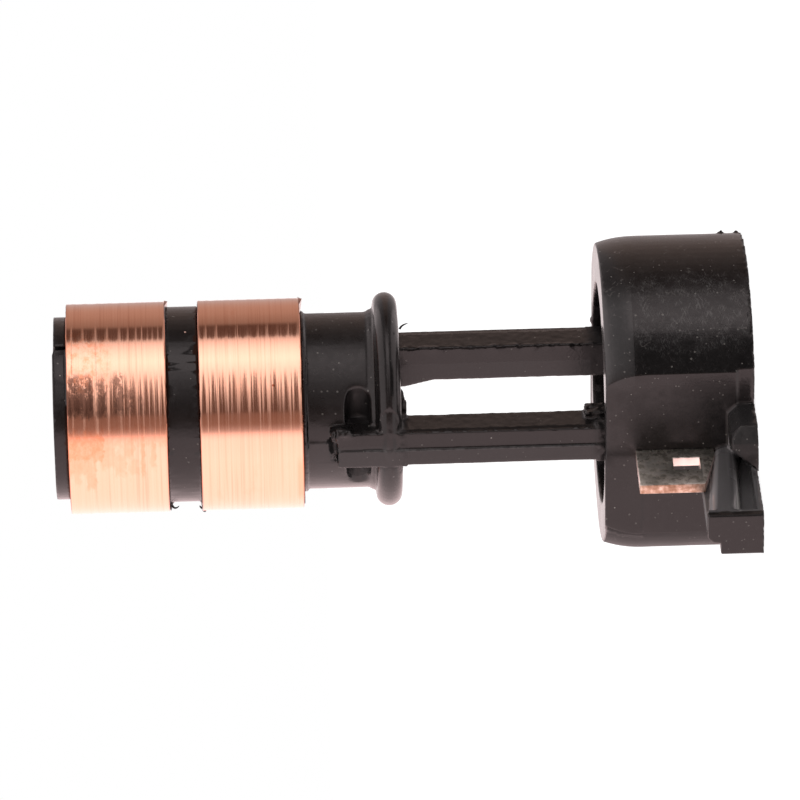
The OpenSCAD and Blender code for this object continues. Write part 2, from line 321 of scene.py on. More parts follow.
# The two brush tracks
# Copper tube, moulded in and then turned to size: the tool left a shallow thread of scallops round
# each track, and a burr along its edges. They were turned a little off the hub's centre. Heat and
# hands left a brown film on the outer one.
TRACK_RADIUS = 8.2 * MM
TRACK_INSIDE = 6.6 * MM
EDGE_BREAK = 0.05 * MM
OFF_CENTRE = picture_up * (-0.165 * MM)
TRACK_STEPS = 192
SCALLOP_POINTS = 8
INNER_FEEDS = [(34.0, 0.79)]
OUTER_FEEDS = [(45.0, 0.42), (46.9, 0.62), (48.2, 0.98)]
FEED_SPREAD = (0.94, 1.06)
SHALLOWEST = 0.016
DEEPEST = 0.026
BURR = 0.04 * MM
LIP = 0.09 * MM
SPIKE = 0.3 * MM
SPIKE_REACH = 9
SHARP_EDGE = math.radians(35)
SAME_POINT = 0.001 * MM
WEIGHT_STEPS = 8


def only(piece):
    """Makes the piece the one that is selected and active."""
    bpy.ops.object.select_all(action="DESELECT")
    piece.select_set(True)
    bpy.context.view_layer.objects.active = piece


def place_in_mesh(piece):
    """Puts the piece's place, turn and scale into its mesh."""
    only(piece)
    bpy.ops.object.transform_apply(location=True, rotation=True, scale=True)


def modify(piece, kind, **settings):
    """Adds a modifier and applies it."""
    only(piece)
    modifier = piece.modifiers.new(kind.lower(), kind)
    for name, value in settings.items():
        setattr(modifier, name, value)
    bpy.ops.object.modifier_apply(modifier=modifier.name)


def weight(piece, name, rule):
    """A vertex group from a rule that gives 0 to 1 at arrays of x, y and z."""
    points = np.empty(len(piece.data.vertices) * 3)
    piece.data.vertices.foreach_get("co", points)
    x, y, z = points.reshape(-1, 3).T
    amount = np.clip(rule(x, y, z), 0, 1)
    group = piece.vertex_groups.new(name=name)
    for step in range(1, WEIGHT_STEPS + 1):
        chosen = np.nonzero(np.round(amount * WEIGHT_STEPS) == step)[0]
        if len(chosen):
            group.add([int(i) for i in chosen], step / WEIGHT_STEPS, "REPLACE")
    return name


def push(piece, name, rule, strengths, mid_level=0.0, **settings):
    """Moves what the rule picks, by a strength for each direction."""
    group = weight(piece, name, rule)
    for direction, strength in strengths.items():
        modify(
            piece, "DISPLACE", direction=direction, strength=strength, mid_level=mid_level,
            vertex_group=group, **settings,
        )


def near(value, centre, reach):
    """1 at the centre, falling to 0 at the reach."""
    return np.clip(1 - np.abs(value - centre) / reach, 0, 1)


def off_angle(x, y, degrees):
    """How many degrees each point lies from that angle round the shaft."""
    return np.abs((np.degrees(np.arctan2(y, x)) - degrees + 180) % 360 - 180)


def clouds(name, size, depth=2):
    """A texture of lumps about that many metres across."""
    texture = bpy.data.textures.new(name, "CLOUDS")
    texture.noise_scale = size
    texture.noise_depth = depth
    return texture


def turned(name, points, steps, sweep=math.tau):
    """Spins a closed row of points (radius, height) about the shaft."""
    bpy.ops.object.select_all(action="DESELECT")
    bpy.ops.mesh.primitive_plane_add(size=MM, location=(0, 0, 0))
    piece = bpy.context.object
    piece.name = name
    bpy.ops.object.mode_set(mode="EDIT")
    bpy.ops.mesh.select_all(action="SELECT")
    bpy.ops.mesh.merge(type="CENTER")
    bpy.ops.transform.translate(value=(points[0][0], 0, points[0][1]))
    for (r0, z0), (r1, z1) in zip(points, points[1:] + points[:1]):
        bpy.ops.mesh.extrude_region_move(
            TRANSFORM_OT_translate={"value": (r1 - r0, 0, z1 - z0)}
        )
    bpy.ops.mesh.select_all(action="SELECT")
    bpy.ops.mesh.remove_doubles(threshold=SAME_POINT)
    bpy.ops.mesh.spin(
        steps=steps, angle=sweep, center=(0, 0, 0), axis=(0, 0, 1), use_auto_merge=True
    )
    bpy.ops.mesh.select_all(action="SELECT")
    bpy.ops.mesh.remove_doubles(threshold=SAME_POINT)
    if sweep < math.tau:
        bpy.ops.mesh.select_all(action="DESELECT")
        bpy.ops.mesh.select_non_manifold()
        bpy.ops.mesh.fill()
        bpy.ops.mesh.select_all(action="SELECT")
    bpy.ops.mesh.normals_make_consistent(inside=False)
    bpy.ops.object.mode_set(mode="OBJECT")
    return piece


def scallops(low, high, feeds, seed):
    """Points up the outside of a track, one shallow hollow for each turn of the tool."""
    chance = random.Random(seed)
    points = []
    z = low
    while z < high:
        feed = [pitch for start, pitch in feeds if z >= start * MM][-1] * MM
        feed *= chance.uniform(*FEED_SPREAD)
        feed = min(feed, high - z)
        depth = chance.uniform(SHALLOWEST, DEEPEST) * feed
        for step in range(SCALLOP_POINTS):
            across = step / SCALLOP_POINTS * 2 - 1
            radius = TRACK_RADIUS - depth * (1 - across**2)
            points.append((radius, z + feed * step / SCALLOP_POINTS))
        z += feed
    return [*points, (TRACK_RADIUS, high)]


def track(name, node, feeds, seed, spike_angle):
    """Turns one brush track, with burred lips and a spike of burr on its lower edge."""
    low, high = (corner[2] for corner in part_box(node))
    points = [
        (TRACK_INSIDE, low),
        (TRACK_RADIUS - EDGE_BREAK, low),
        *scallops(low + EDGE_BREAK, high - EDGE_BREAK, feeds, seed),
        (TRACK_RADIUS - EDGE_BREAK, high),
        (TRACK_INSIDE, high),
    ]
    piece = turned(name, points, TRACK_STEPS)
    push(
        piece, "lips",
        lambda x, y, z: (np.hypot(x, y) > TRACK_RADIUS - 0.1 * MM) * np.maximum(
            near(z, low, LIP), near(z, high, LIP)
        ),
        {"NORMAL": BURR}, mid_level=0.4, texture=clouds("burr", 0.5 * MM, 3),
        texture_coords="LOCAL",
    )
    push(
        piece, "spike",
        lambda x, y, z: (np.hypot(x, y) > TRACK_RADIUS - 0.2 * MM) * near(z, low, LIP)
        * near(off_angle(x, y, spike_angle), 0, SPIKE_REACH),
        {"NORMAL": SPIKE},
    )
    piece.vertex_groups.clear()
    piece.location = OFF_CENTRE
    place_in_mesh(piece)
    bpy.ops.object.shade_smooth_by_angle(angle=SHARP_EDGE)
    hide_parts(node)
    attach(piece, "root")
    return piece


def noise(tree, size, detail=3.0, stretch=(1, 1, 1), roughness=0.5, spot=None):
    """Noise whose blotches are about that many metres across, on the piece's own coordinates."""
    if spot is None:
        spot = add_node(tree, "ShaderNodeTexCoord").outputs["Object"]
    scaled = add_node(tree, "ShaderNodeMapping", in_Vector=spot, in_Scale=stretch)
    made = add_node(
        tree, "ShaderNodeTexNoise", in_Vector=scaled.outputs[0], in_Scale=1 / size,
        in_Detail=detail, in_Roughness=roughness,
    )
    return made.outputs["Fac"]


def turn_and_height(tree):
    """Where a point lies on the part: degrees round the shaft, and millimetres above the floor."""
    spot = add_node(tree, "ShaderNodeTexCoord").outputs["Object"]
    axes = add_node(tree, "ShaderNodeSeparateXYZ", in_Vector=spot).outputs
    angle = compute(tree, "ARCTAN2", axes["Y"], axes["X"])
    return (
        compute(tree, "MULTIPLY", angle, 180 / math.pi),
        compute(tree, "MULTIPLY", axes["Z"], 1 / MM),
    )


def between(tree, value, low, high, soft):
    """A mask that is 1 from low to high and fades over soft outside them."""
    rise = compute(tree, "MULTIPLY_ADD", value, 1 / soft, 1 - low / soft, clamp=True)
    fall = compute(tree, "MULTIPLY_ADD", value, -1 / soft, 1 + high / soft, clamp=True)
    return compute(tree, "MULTIPLY", rise, fall)


def both_masks(tree, *masks):
    """Where every one of the masks holds."""
    result = masks[0]
    for mask in masks[1:]:
        result = compute(tree, "MULTIPLY", result, mask)
    return result


def new_material(name, **settings):
    """A material with one principled shader, its node tree and that shader."""
    made = bpy.data.materials.new(name)
    made.use_nodes = True
    made.node_tree.nodes.clear()
    shader = add_node(made.node_tree, "ShaderNodeBsdfPrincipled", **settings)
    add_node(made.node_tree, "ShaderNodeOutputMaterial", in_Surface=shader.outputs[0])
    return made, made.node_tree, shader


def on_track(degrees, height):
    """A point on a track's surface, from its angle round the shaft and its height in mm."""
    angle = math.radians(degrees)
    return (TRACK_RADIUS * math.cos(angle), TRACK_RADIUS * math.sin(angle), height * MM)


FILM = (0.17, 0.08, 0.055)
ORANGE = (0.82, 0.32, 0.17)
RUST = (0.42, 0.09, 0.03)
TARNISH = (0.28, 0.085, 0.045)
OLD_COPPER = (0.66, 0.29, 0.16)
COPPER_TONES = [
    (0.3, (0.82, 0.44, 0.305)), (0.45, (0.90, 0.505, 0.355)), (0.75, (0.92, 0.54, 0.39)),
]
TARNISH_STRENGTH = 0.85
RUST_STRENGTH = 0.8
RAGGED_RUST = 0.16 * MM
FINE_GROOVE = 0.006 * MM
COARSE_GROOVE = 0.011 * MM
# Specks of rust on the inner track: degrees round the shaft, height in mm and radius in mm.
RUST_SPOTS = [
    (41, 37.66, 0.14), (49.2, 36.9, 0.10), (38.5, 36.8, 0.19), (37.3, 35.06, 0.12),
    (20.7, 37.75, 0.12), (1, 40.55, 0.08), (141, 39.6, 0.13), (212, 36.2, 0.16), (288, 40.9, 0.12),
]


def turned_copper(name, node):
    """Bare turned copper, tarnished on the track's two ends, with what its finishes build on."""
    made, tree, shader = new_material(name, in_Metallic=1.0)
    turn, height = turn_and_height(tree)
    lines = noise(tree, 0.34 * MM, 3, stretch=(0.02, 0.02, 1))
    tooling = noise(tree, 0.15 * MM, 2, stretch=(0.012, 0.012, 1))
    low, high = (corner[2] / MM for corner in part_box(node))
    ends = compute(
        tree, "MAXIMUM",
        between(tree, height, low - 0.3, low + 0.02, 0.06),
        between(tree, height, high - 0.02, high + 0.3, 0.06),
    )
    tarnished = compute(tree, "MULTIPLY", ends, TARNISH_STRENGTH)
    colour = mixed(tree, tarnished, ramp(tree, tooling, COPPER_TONES), TARNISH)
    return made, tree, shader, turn, height, lines, tooling, colour


def finish_copper(tree, shader, colour, roughness, lines, tooling):
    """Fills the shader, and presses the tool's fine and coarse lines into it."""
    fill(tree, shader.inputs["Base Color"], colour)
    fill(tree, shader.inputs["Roughness"], roughness)
    fine = add_node(
        tree, "ShaderNodeBump", in_Strength=0.8, in_Distance=FINE_GROOVE, in_Height=tooling
    )
    coarse = add_node(
        tree, "ShaderNodeBump", in_Strength=0.7, in_Distance=COARSE_GROOVE, in_Height=lines,
        in_Normal=fine.outputs[0],
    )
    fill(tree, shader.inputs["Normal"], coarse.outputs[0])


def clean_copper():
    """The inner track's finish: bright, with a few spots of rust picked up from the shelf."""
    bare = turned_copper("clean_copper", "inner_ring")
    made, tree, shader, turn, height, lines, tooling, colour = bare
    spot = add_node(tree, "ShaderNodeTexCoord").outputs["Object"]
    ragged = compute(tree, "MULTIPLY", noise(tree, 0.12 * MM, 3), RAGGED_RUST)
    for degrees, place_up, size in RUST_SPOTS:
        away = add_node(
            tree, "ShaderNodeVectorMath", operation="DISTANCE", in_0=spot,
            in_1=on_track(degrees, place_up),
        ).outputs["Value"]
        edge = compute(tree, "ADD", away, ragged)
        mark = compute(tree, "LESS_THAN", edge, size * MM)
        colour = mixed(tree, compute(tree, "MULTIPLY", mark, RUST_STRENGTH), colour, RUST)
    warm = both_masks(
        tree, between(tree, turn, -30, -8, 8), between(tree, height, 34.6, 35.0, 0.2),
    )
    colour = mixed(tree, compute(tree, "MULTIPLY", warm, 0.35), colour, ORANGE)
    film = noise(tree, 1.6 * MM, 4, stretch=(0.5, 0.5, 1.2))
    colour = mixed(tree, ramp(tree, film, [(0.6, 0.0), (0.8, 0.25)]), colour, ORANGE)
    roughness = ramp(tree, film, [(0.3, 0.1), (0.75, 0.15)])
    finish_copper(tree, shader, colour, roughness, lines, tooling)
    return made


# Where brown film lies on the outer track, and where orange film was smeared: from and to which
# height in mm and turn in degrees, and how strongly.
FILMED = [
    (50.8, 53.0, 27, 46, 0.85), (49.75, 50.3, 27, 42, 0.7), (48.45, 49.0, 28, 47, 0.7),
    (47.72, 47.95, 28, 37, 0.6), (46.95, 47.12, 28, 34, 0.5),
]
SMEARS = [
    (50.0, 53.0, 1, 15, 0.9), (50.8, 53.0, -7, 4, 0.55), (50.7, 51.3, -19, 2, 0.5),
    (51.9, 52.2, -14, 2, 0.4), (49.2, 50.2, -3, 10, 0.4), (48.3, 49.1, -8, 2, 0.4),
    (47.7, 48.4, 3, 12, 0.45), (47.4, 48.0, -9, -3, 0.35), (46.9, 47.08, -9, 14, 0.6),
    (46.05, 46.3, -4, 12, 0.5), (45.1, 50.4, 10, 15, 0.4),
]


def filmed_copper():
    """The outer track's finish: a brown film at its free end, and orange smears below it."""
    bare = turned_copper("filmed_copper", "outer_ring")
    made, tree, shader, turn, height, lines, tooling, colour = bare
    blotch = noise(tree, 0.5 * MM, 5, stretch=(0.8, 0.8, 1), roughness=0.7)
    speckle = noise(tree, 0.42 * MM, 5, stretch=(0.55, 0.55, 1), roughness=0.68)
    uneven = compute(tree, "SUBTRACT", speckle, 0.5)
    smear_turn = compute(tree, "MULTIPLY_ADD", uneven, 16, turn)
    wander = compute(tree, "SUBTRACT", blotch, 0.5)
    smear_height = compute(tree, "MULTIPLY_ADD", wander, 0.8, height)
    smeared = filmed = 0.0
    for z_low, z_high, turn_low, turn_high, strength in SMEARS:
        smear = both_masks(
            tree, between(tree, smear_height, z_low, z_high, 0.14),
            between(tree, smear_turn, turn_low, turn_high, 4),
        )
        smeared = compute(tree, "MAXIMUM", smeared, compute(tree, "MULTIPLY", smear, strength))
    smeared = compute(tree, "MULTIPLY", smeared, ramp(tree, blotch, [(0.3, 0.45), (0.6, 1.0)]))
    colour = mixed(tree, smeared, colour, ORANGE)
    for z_low, z_high, turn_low, turn_high, strength in FILMED:
        mark = both_masks(
            tree, between(tree, smear_height, z_low, z_high, 0.2),
            between(tree, smear_turn, turn_low, turn_high, 4),
        )
        filmed = compute(tree, "MAXIMUM", filmed, compute(tree, "MULTIPLY", mark, strength))
    cover = compute(tree, "ADD", compute(tree, "MULTIPLY_ADD", turn, -0.009, 0.36), speckle)
    mottled = compute(tree, "MULTIPLY", filmed, ramp(tree, cover, [(0.42, 0.0), (0.5, 1.0)]))
    colour = mixed(tree, mottled, colour, FILM)
    orange_side = both_masks(
        tree, between(tree, turn, 44, 70, 8), between(tree, height, 50.2, 53, 1.4),
        ramp(tree, blotch, [(0.45, 0.0), (0.62, 0.7)]),
    )
    colour = mixed(tree, orange_side, colour, ORANGE)
    film = noise(tree, 1.3 * MM, 4, stretch=(0.6, 0.6, 1.2))
    elsewhere = both_masks(
        tree, ramp(tree, film, [(0.52, 0.0), (0.66, 0.6)]),
        compute(tree, "SUBTRACT", 1.0, between(tree, turn, -75, 110, 25)),
    )
    colour = mixed(tree, elsewhere, colour, OLD_COPPER)
    dulled = compute(tree, "MULTIPLY_ADD", smeared, 0.4, mottled)
    roughness = compute(tree, "MULTIPLY_ADD", dulled, 0.1, 0.13)
    finish_copper(tree, shader, colour, roughness, lines, tooling)
    return made


inner_track = track("inner_track", "inner_ring", INNER_FEEDS, 3, 108)
inner_track.data.materials.append(clean_copper())
outer_track = track("outer_track", "outer_ring", OUTER_FEEDS, 8, 112)
outer_track.data.materials.append(filmed_copper())

# The leads
# Each is stamped from tinned copper strip, 0.8 mm thick. Tin covers the faces of the blade, and
# bare copper shows on the cut edges, which the punch left slightly rounded.
CAD_SAME_POINT = 0.002 * MM
CUT_ROUND = 0.07 * MM
TIN_TONES = [(0.4, (0.38, 0.36, 0.31)), (0.5, (0.82, 0.78, 0.70)), (0.6, (1.0, 0.97, 0.90))]
DULL_TIN = (0.36, 0.365, 0.32)
CUT_TONES = [(0.36, (0.30, 0.17, 0.11)), (0.5, (0.46, 0.30, 0.22)), (0.66, (0.72, 0.56, 0.46))]
BRIGHT_CUT = (0.96, 0.82, 0.76)
BRIGHT_TIP = 0.4 * MM
TIP_FADE = 0.1 * MM


def copy_of(node, name):
    """A merged copy of a CAD node's mesh, as a piece of its own."""
    only(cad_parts[node])
    bpy.ops.object.duplicate()
    piece = bpy.context.object
    piece.name = name
    piece.data.name = name
    for key in [key for key in piece.keys() if key.startswith("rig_")]:
        del piece[key]
    piece.parent = None
    piece.data.materials.clear()
    bpy.ops.object.mode_set(mode="EDIT")
    bpy.ops.mesh.select_all(action="SELECT")
    bpy.ops.mesh.remove_doubles(threshold=CAD_SAME_POINT)
    bpy.ops.object.mode_set(mode="OBJECT")
    return piece


def lead(name, node):
    """One lead, from its CAD solid, with the punched edges rounded."""
    piece = copy_of(node, name)
    bpy.ops.object.mode_set(mode="EDIT")
    bpy.ops.mesh.select_all(action="SELECT")
    bpy.ops.mesh.dissolve_limited(angle_limit=math.radians(1))
    bpy.ops.object.mode_set(mode="OBJECT")
    modify(piece, "BEVEL", width=CUT_ROUND, segments=2, limit_method="ANGLE",
           angle_limit=math.radians(40))
    only(piece)
    bpy.ops.object.shade_smooth_by_angle(angle=SHARP_EDGE)
    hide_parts(node)
    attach(piece, "root")
    return piece


def tinned_copper():
    """Mottled tin on the faces, and copper on the cut edges, bright at the blade's tip."""
    made, tree, shader = new_material("tinned_copper", in_Metallic=1.0)
    mottle = noise(tree, 0.55 * MM, 5, roughness=0.62)
    stain = noise(tree, 1.5 * MM, 3)
    spot = add_node(tree, "ShaderNodeTexCoord")
    facing = add_node(tree, "ShaderNodeSeparateXYZ", in_Vector=spot.outputs["Normal"])
    axes = add_node(tree, "ShaderNodeSeparateXYZ", in_Vector=spot.outputs["Object"]).outputs
    side = compute(tree, "ABSOLUTE", facing.outputs["Y"])
    stained = ramp(tree, stain, [(0.42, 0.0), (0.6, 0.5)])
    tin = mixed(tree, stained, ramp(tree, mottle, TIN_TONES), DULL_TIN)
    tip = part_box("outer_ring_lead")[1][0]
    inward = compute(tree, "SUBTRACT", tip - BRIGHT_TIP, compute(tree, "ABSOLUTE", axes["X"]))
    inward = compute(tree, "MULTIPLY", inward, 1 / TIP_FADE, clamp=True)
    cut = mixed(tree, inward, ramp(tree, mottle, CUT_TONES), BRIGHT_CUT)
    colour = mixed(tree, ramp(tree, side, [(0.35, 0.0), (0.8, 1.0)]), cut, tin)
    fill(tree, shader.inputs["Base Color"], colour)
    fill(tree, shader.inputs["Roughness"], ramp(tree, mottle, [(0.3, 0.5), (0.7, 0.36)]))
    bumps = add_node(
        tree, "ShaderNodeBump", in_Strength=0.7, in_Distance=0.03 * MM, in_Height=mottle
    )
    fill(tree, shader.inputs["Normal"], bumps.outputs[0])
    return made


tin_finish = tinned_copper()
for piece in (lead("outer_lead", "outer_ring_lead"), lead("inner_lead", "inner_ring_lead")):
    piece.data.materials.append(tin_finish)

# The moulding
# One black glass-filled overmoulding: hub, legs, collar, wire posts and pads. It comes out of the
# mould with soft edges, a step where the halves met, and torn flash where the legs meet the ends.
HUB_FOOT = 27.0 * MM
HUB_TOP = 34.6 * MM
COLLAR_TOP = 11.4 * MM
LEG_IN = 5.2 * MM
LEG_FACE = 7.6 * MM
LEG_HALF = 1.44 * MM
LEG_FOOT = 12 * MM
LEG_END = 32.2 * MM
HALVES_MEET = 0.15 * MM
HALF_STEP = 0.07 * MM
LEG_STEP = 0.06 * MM
UNDERSIDE_LIFT = 0.13 * MM
HOLLOW_DEPTH = 0.5 * MM
SLOT_MIDDLE = 30.5 * MM
SLOT_HALF = 2 * MM
SLOT_FILLED = 6.78 * MM
FILLET_HEIGHT = 29.0 * MM
BAND_MIDDLE = 43.77 * MM
BAND_HALF = 1.17 * MM
STUB_SIDE = 52.72 * MM
STUB_END = 53.2 * MM
STUB_TURN = 108
STUB_REACH = 40
STUB_SET_BACK = 0.09 * MM
STUB_SHIFT = {"X": -0.1 * MM, "Y": 0.17 * MM}
TEARS = 0.34 * MM
SMALL_TEARS = 0.26 * MM
SCRAP_FACES = 5
FIN_DEPTH = 0.5 * MM
FIN_STEP = 1.5
HAIR_TAPER = (1.2, 1, 1, 0.8, 0.3)
VOXEL = 0.11 * MM
MOST_TRIANGLES = 190_000

# Scraps of flash where the legs meet the collar and the hub, and on the edges of the collar and the
# tracks: the centre and half-sizes in mm, a seed and a turn.
SCRAPS = [
    ((5.9, 1.6, 12.0), (0.75, 0.42, 0.85), 1),
    ((7.3, 1.3, 11.6), (0.6, 0.42, 0.4), 3, 0.3),
    ((-8.9, 1.6, 11.35), (0.16, 0.16, 0.2), 5, 0.4),
    ((-5.8, 10.8, 1.55), (0.08, 0.08, 0.13), 4, 0.5),
    ((-5.9, 10.72, 0.35), (0.1, 0.11, 0.12), 7, 0.3),
    ((5.5, 2.1, 26.8), (0.3, 0.7, 0.22), 8),
    ((5.6, 3.1, 26.85), (0.22, 0.7, 0.1), 9),
    ((-8.0, 1.2, 26.9), (0.2, 0.3, 0.2), 10, 0.4),
    ((6.9, 1.05, 32.15), (1.0, 0.4, 0.27), 11),
    ((7.5, 1.45, 31.5), (0.62, 0.35, 0.62), 6),
    ((7.7, 1.38, 31.6), (0.5, 0.14, 0.35), 12, 0.2),
    ((3.86, -6.77, 44.98), (0.22, 0.3, 0.12), 13),
    ((3.92, -6.87, 42.42), (0.26, 0.36, 0.14), 14),
]
# Fins round the tracks' edges: radius, height, reach outward and thickness in mm, the first and
# last degree, and a seed.
FINS = [
    (7.4, 45.0, 0.72, 0.2, -78, 112, 21),
    (7.4, 42.35, 0.78, 0.16, -52, 6, 22),
    (7.6, 52.5, 0.58, 0.16, 72, 112, 23),
    (7.2, 34.56, 0.93, 0.15, -66, 118, 24),
    (7.4, 45.0, 0.7, 0.18, 150, 240, 25),
    (7.4, 42.35, 0.7, 0.18, 170, 215, 26),
]
# Hairs at the far leg's head and under the tracks: five points and a thickness in mm.
HAIRS = [
    ([(2.80, 7.70, 26.92), (2.72, 7.83, 26.88), (2.66, 7.95, 26.76), (2.61, 8.03, 26.55),
      (2.58, 8.08, 26.3)], 0.18),
    ([(3.70, -6.48, 45.03), (3.89, -6.82, 44.92), (4.06, -7.12, 44.82), (4.03, -7.07, 44.55),
      (3.92, -6.88, 44.35)], 0.2),
    ([(3.70, -6.49, 42.44), (3.93, -6.89, 42.38), (4.10, -7.19, 42.4), (4.06, -7.12, 42.62),
      (3.94, -6.90, 42.75)], 0.28),
]


def scrap(centre, size, seed, turn=0.0):
    """A torn block of flash, from its centre and half-sizes in mm."""
    bpy.ops.object.select_all(action="DESELECT")
    bpy.ops.mesh.primitive_cube_add(size=2, location=[c * MM for c in centre])
    lump = bpy.context.object
    lump.scale = [s * MM for s in size]
    lump.rotation_euler = (turn, turn / 2, turn)
    place_in_mesh(lump)
    bpy.ops.object.mode_set(mode="EDIT")
    bpy.ops.mesh.select_all(action="SELECT")
    bpy.ops.mesh.subdivide(number_cuts=SCRAP_FACES)
    bpy.ops.transform.vertex_random(offset=min(size) * MM / 3, seed=seed)
    bpy.ops.object.mode_set(mode="OBJECT")
    modify(lump, "DISPLACE", texture=clouds("ragged", 0.45 * MM, 3), strength=0.38 * MM,
           texture_coords="LOCAL")
    return lump


def fin(radius, height, out, along, first, last, seed):
    """A thin uneven fin of flash round part of a track's edge, in mm and degrees."""
    r, z = radius * MM, height * MM
    points = [(r - FIN_DEPTH, z), (r + out * MM, z), (r + out * MM, z + along * MM),
              (r - FIN_DEPTH, z + along * MM)]
    steps = round((last - first) / FIN_STEP)
    piece = turned("fin", points, steps, math.radians(last - first))
    piece.data.transform(Matrix.Rotation(math.radians(first), 4, "Z"))
    only(piece)
    bpy.ops.object.mode_set(mode="EDIT")
    bpy.ops.mesh.select_all(action="SELECT")
    bpy.ops.transform.vertex_random(offset=0.05 * MM, seed=seed)
    bpy.ops.object.mode_set(mode="OBJECT")
    return piece


def hair(points, thickness):
    """A curled hair of flash through five points in mm, thinner toward its ends."""
    bpy.ops.object.select_all(action="DESELECT")
    bpy.ops.curve.primitive_nurbs_path_add()
    strand = bpy.context.object
    strand.data.dimensions = "3D"
    strand.data.bevel_depth = thickness * MM / 2
    strand.data.bevel_resolution = 1
    strand.data.use_fill_caps = True
    for knot, point, girth in zip(strand.data.splines[0].points, points, HAIR_TAPER):
        knot.co = (*[c * MM for c in point], 1)
        knot.radius = girth
    bpy.ops.object.convert(target="MESH")
    return bpy.context.object


def join(piece, others):
    """Makes the others part of the piece."""
    only(piece)
    for other in others:
        other.select_set(True)
    bpy.ops.object.join()


moulding = copy_of("moulded_body", "moulding")
join(moulding, [scrap(*row) for row in SCRAPS] + [fin(*row) for row in FINS])
modify(moulding, "REMESH", mode="VOXEL", voxel_size=VOXEL, adaptivity=0.0)
modify(moulding, "SMOOTH", factor=0.5, iterations=2)

# A hollow across the near leg's end, and the steps where the mould's halves met.
push(
    moulding, "leg_hollow",
    lambda x, y, z: near(x, 6.9 * MM, 1.4 * MM) * near(y, -0.5 * MM, 1.3 * MM)
    * near(z, 32.15 * MM, 0.42 * MM) * 4,
    {"NORMAL": -HOLLOW_DEPTH},
)
push(
    moulding, "half_step",
    lambda x, y, z: (y < HALVES_MEET) * np.where(
        z > HUB_FOOT,
        (z < HUB_TOP) * (np.hypot(x, y) > 6 * MM)
        * ((np.abs(x) < 7.2 * MM) + (np.abs(y) > LEG_HALF + 0.1 * MM)),
        (z > 8.6 * MM) * (np.abs(x) > 9.4 * MM),
    ),
    {"NORMAL": HALF_STEP},
)
push(
    moulding, "leg_step",
    lambda x, y, z: (y > 0.03 * MM) * (np.abs(x) > LEG_FACE) * (z > LEG_FOOT) * (z < 30 * MM),
    {"NORMAL": -LEG_STEP},
)
push(
    moulding, "underside",
    lambda x, y, z: (y < -1.1 * MM) * (x > 4.9 * MM) * (z > LEG_FOOT) * (z < 26.6 * MM),
    {"Y": UNDERSIDE_LIFT},
)

# The slot's top is filled down a little, and its rim and the fillet under the bead are soft.
slot_top = weight(
    moulding, "slot_top",
    lambda x, y, z: (y - 3.7 * MM) / (0.5 * MM) * (x > 0)
    * (np.abs(z - SLOT_MIDDLE) < SLOT_HALF)
    * (np.hypot(x, y) > 5 * MM) * (np.hypot(x, y) < SLOT_FILLED),
)
modify(
    moulding, "CAST", cast_type="CYLINDER", use_z=False, factor=1.0,
    use_radius_as_size=False, size=SLOT_FILLED, vertex_group=slot_top,
)
softened = weight(
    moulding, "softened",
    lambda x, y, z: (np.hypot(x, y) > 5.4 * MM) * np.maximum(
        (np.hypot(x, y) < 7.7 * MM) * (np.abs(z - FILLET_HEIGHT) < 0.8 * MM),
        (x > 0) * (np.abs(z - SLOT_MIDDLE) < SLOT_HALF) * (np.abs(y - 3 * MM) < 1.5 * MM),
    ),
)
modify(moulding, "SMOOTH", factor=0.5, iterations=14, vertex_group=softened)

# Shallow sink marks all over, and torn skin where flash was broken off.
modify(
    moulding, "DISPLACE", texture=clouds("sink_marks", 5 * MM), strength=0.05 * MM,
    texture_coords="LOCAL",
)
push(
    moulding, "ragged_ends",
    lambda x, y, z: np.maximum.reduce([
        near(z, COLLAR_TOP, 0.7 * MM) * (np.abs(y) < 2.2 * MM) * (np.abs(x) < 8.6 * MM)
        * np.where(x > 0, 0.8, 0.15),
        near(z, LEG_END, 0.9 * MM) * (np.abs(x) > 7 * MM) * (np.abs(y) < 2 * MM) * 0.5,
        near(z, 0, 0.35 * MM) * (np.hypot(x, y) > 10.5 * MM) * 0.7,
        near(z, HUB_FOOT, 0.5 * MM) * (np.abs(y) < 2.2 * MM) * (np.abs(x) > 4 * MM) * 0.7,
    ]),
    {"NORMAL": TEARS}, mid_level=0.5, texture=clouds("torn", 0.45 * MM, 3),
    texture_coords="LOCAL",
)

# The stub's upper side stands back and out, and what carries the tracks moves off centre with
# them. The legs' edges are a little torn.
push(
    moulding, "stack_end",
    lambda x, y, z: (z > STUB_END) * (off_angle(x, y, STUB_TURN) < STUB_REACH)
    * (np.hypot(x, y) > 5 * MM),
    {"Z": -STUB_SET_BACK},
)
push(
    moulding, "stub_side",
    lambda x, y, z: (z > STUB_SIDE) * (off_angle(x, y, STUB_TURN) < STUB_REACH)
    * (np.hypot(x, y) > 6.7 * MM),
    STUB_SHIFT,
)
push(
    moulding, "stack",
    lambda x, y, z: (z - HUB_TOP) / (0.4 * MM) * (np.abs(z - BAND_MIDDLE) > BAND_HALF),
    dict(zip("XY", OFF_CENTRE)),
)
push(
    moulding, "leg_edges",
    lambda x, y, z: (z > COLLAR_TOP) * (z < HUB_FOOT + 2 * MM) * np.maximum.reduce([
        near(y, LEG_HALF, 0.26 * MM) * (np.abs(x) < LEG_IN + 0.3 * MM) * (x < 0),
        near(y, 0.05 * MM, 0.22 * MM) * (np.abs(x) > LEG_FACE) * np.where(x > 0, 0.15, 1),
        near(np.abs(y), LEG_HALF, 0.2 * MM) * 0.25,
    ]),
    {"NORMAL": SMALL_TEARS}, mid_level=0.4, texture=clouds("ragged_edge", 0.5 * MM, 3),
    texture_coords="LOCAL",
)
triangles = sum(len(p.vertices) - 2 for p in moulding.data.polygons)
modify(moulding, "DECIMATE", ratio=min(1, MOST_TRIANGLES / triangles))
moulding.vertex_groups.clear()
join(moulding, [hair(*row) for row in HAIRS])
only(moulding)
